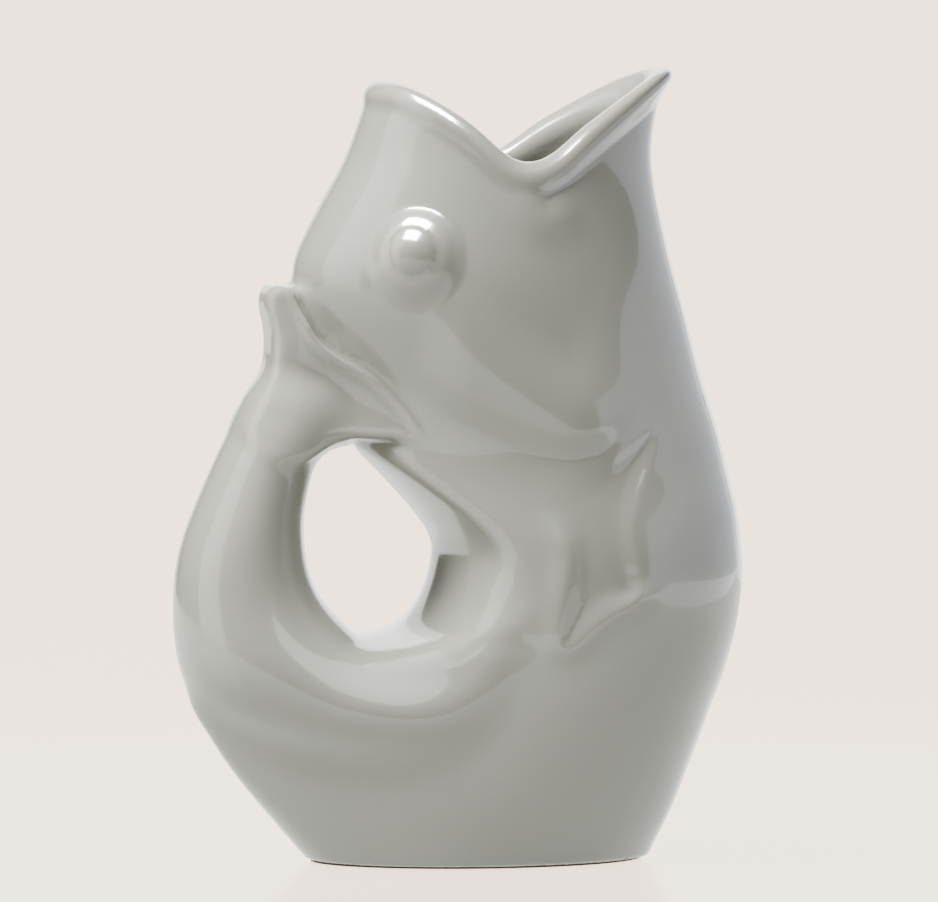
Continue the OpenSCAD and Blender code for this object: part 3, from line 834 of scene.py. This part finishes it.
def round_bar(name, centre, radius, direction, length):
    """A round bar, centre + r (cos a p + sin a q), carried from centre along direction."""
    side_axis = np.cross(direction, [0, 0, 1])
    side_axis /= np.linalg.norm(side_axis)
    third = np.cross(direction, side_axis)
    a = np.linspace(0, 2 * np.pi, 64, endpoint=False)[:, None]
    ring = centre + radius * (np.cos(a) * side_axis + np.sin(a) * third)
    return tube(name, np.stack([ring, ring + length * direction]))


def band_outline(path, below, above):
    """A closed outline: the path moved down by below, and back along it moved up by above."""
    return np.concatenate([path - [0, below], (path + [0, above])[::-1]])


# Depth of the cut under the glaze, and the heights of the core's rings
CORE_DEPTH, CORE_HEIGHTS = 2.2, np.arange(60, 216, 4)
core = tube("core", np.stack([egg_ring(z, CORE_DEPTH) for z in CORE_HEIGHTS]))
print("core of", len(CORE_HEIGHTS), "rings")

# %% Relief cutters and pieces
# How far the cuts run outside the reliefs' outlines, and where they start and end in y
BAND_BELOW, BAND_ABOVE, PECTORAL_MARGIN = 5, 14, 1.12
NEAR_Y, FAR_Y = 2.0, 90.0
# The eye's bar and the pupil's: added radius, start along the look, and length
EYE_BAR, PUPIL_BAR = (1.0, -8, 40), (0.8, 0.5, 30)
pectoral_middle = PECTORAL_EDGE.mean(0)
relief_outlines = {
    "gill_cover": band_outline(GILL_EDGE, BAND_BELOW, BAND_ABOVE),
    "pectoral_fin": pectoral_middle + (PECTORAL_EDGE - pectoral_middle) * PECTORAL_MARGIN,
}
relief_cutters = {}
for side_name, sign in (("left", -1), ("right", 1)):
    for relief_name, outline in relief_outlines.items():
        block = prism("block", outline, *sorted((sign * NEAR_Y, sign * FAR_Y)))
        relief_cutters[f"{side_name}_{relief_name}"] = cut("relief cutter", block, "DIFFERENCE", core)
        gone(block)
    look = EYE_LOOK * [1, sign, 1]
    base = EYE_AT + [0, sign * EYE_Y, 0]
    bar, pin = [round_bar("bar", base + look * start, radius + more, look, length)
                for radius, (more, start, length) in ((EYE_R, EYE_BAR), (PUPIL_R, PUPIL_BAR))]
    eye_block = cut("eye block", bar, "DIFFERENCE", core)
    relief_cutters[f"{side_name}_pupil"] = pin
    relief_cutters[f"{side_name}_eye"] = cut("relief cutter", eye_block, "DIFFERENCE", pin)
    gone(bar, eye_block)

for name, cutter in relief_cutters.items():
    pieces[name] = cut(name, whole, "INTERSECT", cutter)
    print(name, len(pieces[name].data.polygons), "faces")
for name in ("head_wall", "belly_wall"):
    bare = pieces[name]
    cutters = [c for n, c in relief_cutters.items() if name == "head_wall" or "pectoral" in n]
    pieces[name] = cut(name, bare, "DIFFERENCE", *cutters)
    gone(bare)
    pieces[name].name = name
gone(whole, core, *relief_cutters.values())

# %% [markdown]
# ## A smooth shine over the cuts
# Shine is read from the surface's normals. Taken from the field, they are the same on
# both sides of a cut, so the glaze runs on unbroken. Faces that a cut laid open inside
# the clay stay flat. The field's bend is kept with each point, because glaze runs thin
# on outward edges and gathers in grooves.

# %% Normals and the glaze's thickness
# A cut face lies deeper in the clay than this, and its cosine to the field's slope is less
CUT_DEPTH, CUT_TURN, BEND_SIZE, BEND_GAIN = 0.5, 0.7, 0.5, 4


def read(items, what, width=1, kind=np.float32):
    """One property of all vertices, corners or faces, as an array."""
    values = np.empty(len(items) * width, kind)
    items.foreach_get(what, values)
    return values.reshape(-1, width) if width > 1 else values


def finish_surface(piece):
    """Corner normals along the field's slope, flat on cut faces, and an attribute for how
    far the surface bends out (1) or in (-1)."""
    mesh = piece.data
    slope, bend = gradient(read(mesh.vertices, "co", 3).astype(float) / MM, BEND_SIZE)
    normals = slope / np.maximum(np.linalg.norm(slope, axis=1), 1e-6)[:, None]
    sizes = read(mesh.polygons, "loop_total", kind=np.int32)
    face_normals = np.repeat(read(mesh.polygons, "normal", 3), sizes, axis=0)
    middles = read(mesh.polygons, "center", 3).astype(float) / MM
    within = jug_field(*middles.T) < -CUT_DEPTH
    wanted = normals[read(mesh.loops, "vertex_index", kind=np.int32)]
    cosines = (wanted * face_normals).sum(1)
    turned = np.minimum.reduceat(cosines, np.cumsum(sizes) - sizes) < CUT_TURN
    off = np.repeat(within & turned, sizes)
    wanted[off] = face_normals[off]
    mesh.shade_smooth()
    mesh.normals_split_custom_set(wanted.tolist())
    relief = mesh.attributes.new("glaze_edge", "FLOAT", "POINT")
    relief.data.foreach_set("value", np.clip(bend * BEND_GAIN, -1, 1).astype(np.float32))


for piece in pieces.values():
    finish_surface(piece)
print("surfaces finished:", len(pieces))

# %% [markdown]
# ## Foot and floor
# The jug stands on a ring of bare clay, left free of glaze so that it doesn't stick to
# the kiln shelf. The floor closes the belly above it.

# %% Foot ring and floor
# Profiles as pairs of depth from the jug's outside and height
FOOT_PROFILE = [
    (3.4, 3.2), (3.2, 2.6), (3.2, 0.8), (3.4, 0.25), (3.9, 0), (9.0, 0), (9.9, 0.25), (10.3, 0.9),
    (10.5, 2.6), (10.5, 3.2),
]
FLOOR_PROFILE = [
    (60, 3.9), (16, 3.6), (8, 3.3), (WALL - 0.6, 3.2), (WALL - 0.6, 9.6), (WALL + 2.2, 9.2),
    (20, 8.9), (60, 8.8),
]
# Depth that counts as the floor's middle, and the share at which it is closed
FLOOR_HALF, FLOOR_CLOSED = 40, 0.02


def oval(z_of_section, depth, z, columns=160):
    """The egg-shaped section of one height, drawn in by depth and laid at height z."""
    ring = egg_ring(z_of_section, depth, columns)
    ring[:, 2] = z
    return ring


def shrunk(depth, z):
    """A section's ring drawn in towards its middle by 1 - depth / half, whatever the depth."""
    ring = oval(FOOT_H + FLOOR, 0, z)
    middle = ring.mean(0)
    share = max(1 - depth / FLOOR_HALF, FLOOR_CLOSED)
    return np.concatenate([middle[:2] + (ring[:, :2] - middle[:2]) * share, ring[:, 2:]], 1)


foot_rings = np.stack([oval(FOOT_H, depth, z) for depth, z in FOOT_PROFILE[::-1]])
pieces["foot_ring"] = tube("foot_ring", foot_rings, looped=True)
pieces["base_floor"] = tube("base_floor", np.stack([shrunk(d, z) for d, z in FLOOR_PROFILE]))
for name in ("foot_ring", "base_floor"):
    mesh = pieces[name].data
    mesh.shade_smooth()
    mesh.set_sharp_from_angle(angle=math.radians(40))
    print(name, len(mesh.polygons), "faces")

# %% [markdown]
# ## Materials
# Shader arithmetic reads like arithmetic: a Wire is one output of a node, and adding or
# multiplying wires adds Math nodes.

# %% Wires and node trees
class Wire:
    """One output socket; + - * on wires and numbers add Math nodes."""

    def __init__(self, tree, socket):
        self.tree, self.socket = tree, socket

    def math(self, operation, a, b):
        return self.tree.node("ShaderNodeMath", {"operation": operation}, {0: a, 1: b})

    def __add__(self, other):
        return self.math("ADD", self, other)

    def __sub__(self, other):
        return self.math("SUBTRACT", self, other)

    def __rsub__(self, other):
        return self.math("SUBTRACT", other, self)

    def __mul__(self, other):
        return self.math("MULTIPLY", self, other)

    __radd__, __rmul__ = __add__, __mul__


class Tree:
    """The nodes of a material or a world, each made by one call."""

    def __init__(self, owner):
        owner.use_nodes = True
        self.owner, self.nodes, self.links = owner, owner.node_tree.nodes, owner.node_tree.links
        self.nodes.clear()

    def node(self, kind, settings=None, inputs=None, out=0):
        """Adds a node, sets its settings, then joins or sets its inputs; gives one output."""
        made = self.nodes.new(kind)
        for key, value in (settings or {}).items():
            setattr(made, key, value)
        for key, value in (inputs or {}).items():
            if isinstance(value, Wire):
                self.links.new(value.socket, made.inputs[key])
            else:
                made.inputs[key].default_value = value
        return Wire(self, made.outputs[out]) if made.outputs else None

    def noise(self, scale, detail):
        """A cloud of numbers in Object coordinates, which stays put on its piece."""
        place = self.node("ShaderNodeTexCoord", out=3)
        return self.node("ShaderNodeTexNoise", None, {"Vector": place, "Scale": scale, "Detail": detail})

    def mix(self, share, first, second):
        """The first colour at a share of 0, the second at 1."""
        return self.node("ShaderNodeMix", {"data_type": "RGBA"}, {0: share, 6: first, 7: second}, out=2)

    def span(self, value, low, high, start=0.0, end=1.0):
        """start where the value is at low, end where it is at high, and held beyond."""
        return self.node("ShaderNodeMapRange", None, {
            "Value": value, "From Min": low, "From Max": high, "To Min": start, "To Max": end})

    def surface(self, shader, kind="ShaderNodeOutputMaterial"):
        """Ends the tree with its shader and gives the material or the world."""
        self.node(kind, None, {"Surface": shader})
        return self.owner


print("wires take + - and *")

# %% [markdown]
# The glaze is a thin layer of glass over pale clay: even and grey-green, a little thinner
# and warmer on outward edges, deeper in grooves where it pools, with a faint waviness
# in its shine.

# %% Grey glaze and bare clay
GLAZE, GLAZE_THIN = (0.420, 0.425, 0.375, 1), (0.50, 0.475, 0.415, 1)
GLAZE_DEEP = (0.31, 0.315, 0.270, 1)
CLAY, CLAY_DARK = (0.16, 0.105, 0.062, 1), (0.055, 0.034, 0.020, 1)


def glaze_material():
    """Clouds and specks between two tones, the thin tone on edges and the deep one in
    grooves, under a clear coat with a faint ripple."""
    t = Tree(bpy.data.materials.new("grey_glaze"))
    cloud, speck, ripple = t.noise(22.0, 3.0), t.noise(900.0, 2.0), t.noise(60.0, 2.0)
    bend = t.node("ShaderNodeAttribute", {"attribute_name": "glaze_edge"}, out=2)
    thin, deep = t.span(bend, 0.25, 1.0), t.span(bend, -0.15, -0.9)
    body = t.mix(cloud * 0.35 - 0.08 + speck * 0.10, GLAZE, GLAZE_THIN)
    body = t.mix(thin * 0.55, body, GLAZE_THIN)
    body = t.mix(deep * 0.5, body, GLAZE_DEEP)
    bump = t.node("ShaderNodeBump", None, {"Strength": 0.05, "Distance": 0.0006, "Height": ripple})
    shader = t.node("ShaderNodeBsdfPrincipled", None, {
        "Base Color": body, "Roughness": 0.16 + cloud * 0.08, "IOR": 1.52, "Normal": bump,
        "Coat Weight": 0.75, "Coat Roughness": 0.03, "Coat IOR": 1.5})
    return t.surface(shader)


def clay_material():
    """Fine grain and larger stains between two browns, matt and slightly rough."""
    t = Tree(bpy.data.materials.new("bare_clay"))
    grain, stain = t.noise(700.0, 5.0), t.noise(40.0, 3.0)
    body = t.mix(grain * 0.6 + stain * 0.3, CLAY, CLAY_DARK)
    bump = t.node("ShaderNodeBump", None, {"Strength": 0.4, "Distance": 0.0004, "Height": grain})
    shader = t.node("ShaderNodeBsdfPrincipled", None, {
        "Base Color": body, "Roughness": 0.75 + grain * 0.2, "Normal": bump})
    return t.surface(shader)


glaze, clay = glaze_material(), clay_material()
for name, piece in pieces.items():
    bare = name == "foot_ring"
    piece.data.materials.clear()
    piece.data.materials.append(clay if bare else glaze)
    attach(piece, "root")
    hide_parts(name)
print(len(pieces), "pieces ride on the root")

# %% [markdown]
# ## The studio floor
# The jug stands on a pale table that turns up into a backdrop. Its glow is set apart for
# the lens, for the light that it throws on the jug and for its mirror image in the glaze,
# so the background can be nearly white while the jug keeps its dark reflections. Near the
# jug it is shiny enough to mirror the foot, and further off it is matt, without a horizon.

# %% Floor and backdrop in one sweep
# Tones of the glow to the lens, of the glow on the jug, and of the surface itself
PALE, BOUNCE, SWEEP_TONE = (1.0, 0.80, 0.62, 1), (0.84, 0.87, 0.82, 1), (0.12, 0.11, 0.10, 1)
# Strength of the glow to the lens, on the jug, and mirrored from the floor and from a height
LENS_GLOW, SHADE_GLOW, FLOOR_GLOSS, WALL_GLOSS, GLOSS_HEIGHT = 3.65, 0.58, 1.9, 2.3, 0.25
# What the near floor's glow lacks, and the distances between which that lack fades
NEAR_LACK, NEAR, PAST = 0.8, 0.25, 0.65
away = -back * [1, 1, 0] / np.hypot(*back[:2])


def sweep_mesh():
    """A profile of a floor, a quarter circle and a wall, carried sideways: each point is
    side * right + depth * away, at its height."""
    turn, depth, front, tall, wide = 0.45, 1.6, -1.0, 2.2, 0.95
    a = np.linspace(0, np.pi / 2, 32)
    arc = np.stack([depth + turn * np.sin(a), turn * (1 - np.cos(a))], 1)
    profile = np.concatenate([[[front, 0]], arc, [[depth + turn, tall]]])
    n = len(profile)
    points = np.concatenate([side * right + profile[:, :1] * away + profile[:, 1:] * [0, 0, 1]
                             for side in (-wide, wide)])
    i = np.arange(n - 1)
    return points / MM, np.stack([i, i + n, i + n + 1, i + 1], 1)


def sweep_material():
    """The glow's tone times its strength, SHADE + lens (LENS - SHADE) + gloss (GLOSS - SHADE),
    over a shiny surface near the jug and a matt one past it."""
    t = Tree(bpy.data.materials.new("sweep"))
    to_lens, to_gloss = (t.node("ShaderNodeLightPath", out=n) for n in (0, 3))
    place = t.node("ShaderNodeTexCoord", out=3)
    height = t.node("ShaderNodeSeparateXYZ", None, {0: place}, out=2)
    glossy = t.span(height, 0.0, GLOSS_HEIGHT, FLOOR_GLOSS, WALL_GLOSS)
    far = t.span(t.node("ShaderNodeVectorMath", {"operation": "LENGTH"}, {0: place}, out=1), NEAR, PAST)
    strength = SHADE_GLOW + to_lens * (LENS_GLOW - NEAR_LACK + far * NEAR_LACK - SHADE_GLOW) \
        + to_gloss * (glossy - SHADE_GLOW)
    tint = t.mix(to_lens, BOUNCE, PALE)
    glow = t.node("ShaderNodeVectorMath", {"operation": "SCALE"}, {0: tint, "Scale": strength})
    both = {"Base Color": SWEEP_TONE, "Emission Color": glow, "Emission Strength": 1.0}
    shiny = t.node("ShaderNodeBsdfPrincipled", None, {**both, "Roughness": 0.14, "IOR": 1.45})
    matt = t.node("ShaderNodeBsdfPrincipled", None, {**both, "Roughness": 1.0, "Specular IOR Level": 0.0})
    return t.surface(t.node("ShaderNodeMixShader", None, {0: far, 1: shiny, 2: matt}))


sweep = mesh_piece("sweep", *sweep_mesh())
sweep.data.shade_smooth()
sweep.data.materials.append(sweep_material())
print("sweep of", len(sweep.data.polygons), "faces")

# %% [markdown]
# ## The soft boxes
# Glaze shows what stands round it, so some boxes only shade the jug and others are only
# mirrored in it. A wide one on the left and one above model the form. A tall one on the
# left, one in front and one behind on the right draw the long highlights, a small strong
# one makes the sparks of the eye and the rim, and a cool panel close by on the right lies
# along the spout. A photographer would set black cards between a box and the parts that
# should stay dark, and light linking does the same here.

# %% Soft boxes
# Height that the boxes look at, and how the right panel is moved and tipped off its place
LIGHT_AIM = 0.13
PANEL_AZIMUTH, PANEL_SHIFT, PANEL_RAISE, PANEL_TIP = math.radians(70), 0.30, 0.021, -0.10


def softbox(name, azimuth, elevation, distance, size, power, colour=(1, 1, 1),
            mirrored=True, shades=True):
    """A rectangular area light at aim + distance (cos a cos e, sin a cos e, sin e), which
    looks back at the jug, with its angles in degrees and its power in watts."""
    light = bpy.data.lights.new(name, "AREA")
    light.shape, light.size, light.size_y = "RECTANGLE", *size
    light.energy, light.color = power, colour
    made = add(name, light)
    a, e = math.radians(azimuth), math.radians(elevation)
    direction = np.array([math.cos(a) * math.cos(e), math.sin(a) * math.cos(e), math.sin(e)])
    made.location = direction * distance + [0, 0, LIGHT_AIM]
    made.rotation_euler = (math.pi / 2 - e, 0, a + math.pi / 2)
    made.visible_glossy, made.visible_diffuse, made.visible_camera = mirrored, shades, False
    return made


def shine_only(light, names):
    """Keeps a light to the named pieces, as a black card between it and the others would."""
    kept = bpy.data.collections.new(light.name)
    for name in names:
        kept.objects.link(pieces[name])
    light.light_linking.receiver_collection = kept


softbox("left light", 180, 55, 1.8, (1.3, 1.3), 84, (1, 0.995, 0.97), mirrored=False)
softbox("high light", -142, 72, 1.5, (1.2, 1.2), 27, mirrored=False)
softbox("right light", -10, 25, 1.8, (1.4, 1.4), 2, (0.90, 0.93, 1), mirrored=False)
softbox("left mirror", -178, 14, 1.8, (1.2, 2.2), 22, (1, 1, 0.98), shades=False)
edge_mirror = softbox("edge mirror", 66, 5, 1.0, (0.9, 1.5), 6, (0.93, 0.95, 1), shades=False)
front_mirror = softbox("front mirror", -100, 60, 1.5, (1.7, 1.7), 32, shades=False)
top_box = softbox("top box", -136, 60, 1.3, (1.0, 0.75), 450, shades=False)
right_panel = softbox("right panel", -20, 0, 0.46, (1.32, 0.326), 2.25, (0.88, 0.905, 1), shades=False)
shift = [PANEL_SHIFT * math.cos(PANEL_AZIMUTH), PANEL_SHIFT * math.sin(PANEL_AZIMUTH), PANEL_RAISE]
right_panel.location = np.array(right_panel.location) + shift
right_panel.rotation_euler.y = PANEL_TIP
shine_only(front_mirror, ["belly_wall", "tail_handle"])
shine_only(top_box, [name for name in pieces if name.split("_")[-1] in ("eye", "pupil", "lip")])
shine_only(right_panel, [name for name in pieces if "tail" not in name])
shine_only(edge_mirror, pieces)
print(len(bpy.data.lights), "soft boxes")

# %% The room past the sweep
# The glaze mirrors a dark room, and the lens sees the sweep's pale tone all round
ROOM, ROOM_GLOW = (0.95, 0.96, 1, 1), 0.02
studio = Tree(bpy.data.worlds.new("studio"))
room = studio.node("ShaderNodeBackground", None, {"Color": ROOM, "Strength": ROOM_GLOW})
pale = studio.node("ShaderNodeBackground", None, {"Color": PALE, "Strength": LENS_GLOW})
seen = {0: studio.node("ShaderNodeLightPath"), 1: room, 2: pale}
seen = studio.node("ShaderNodeMixShader", None, seen)
bpy.context.scene.world = studio.surface(seen, "ShaderNodeOutputWorld")
print("room glows at", ROOM_GLOW)

# %% [markdown]
# ## The end
# The scene is brought up to date once more.

# %% Bring the scene up to date
bpy.context.view_layer.update()
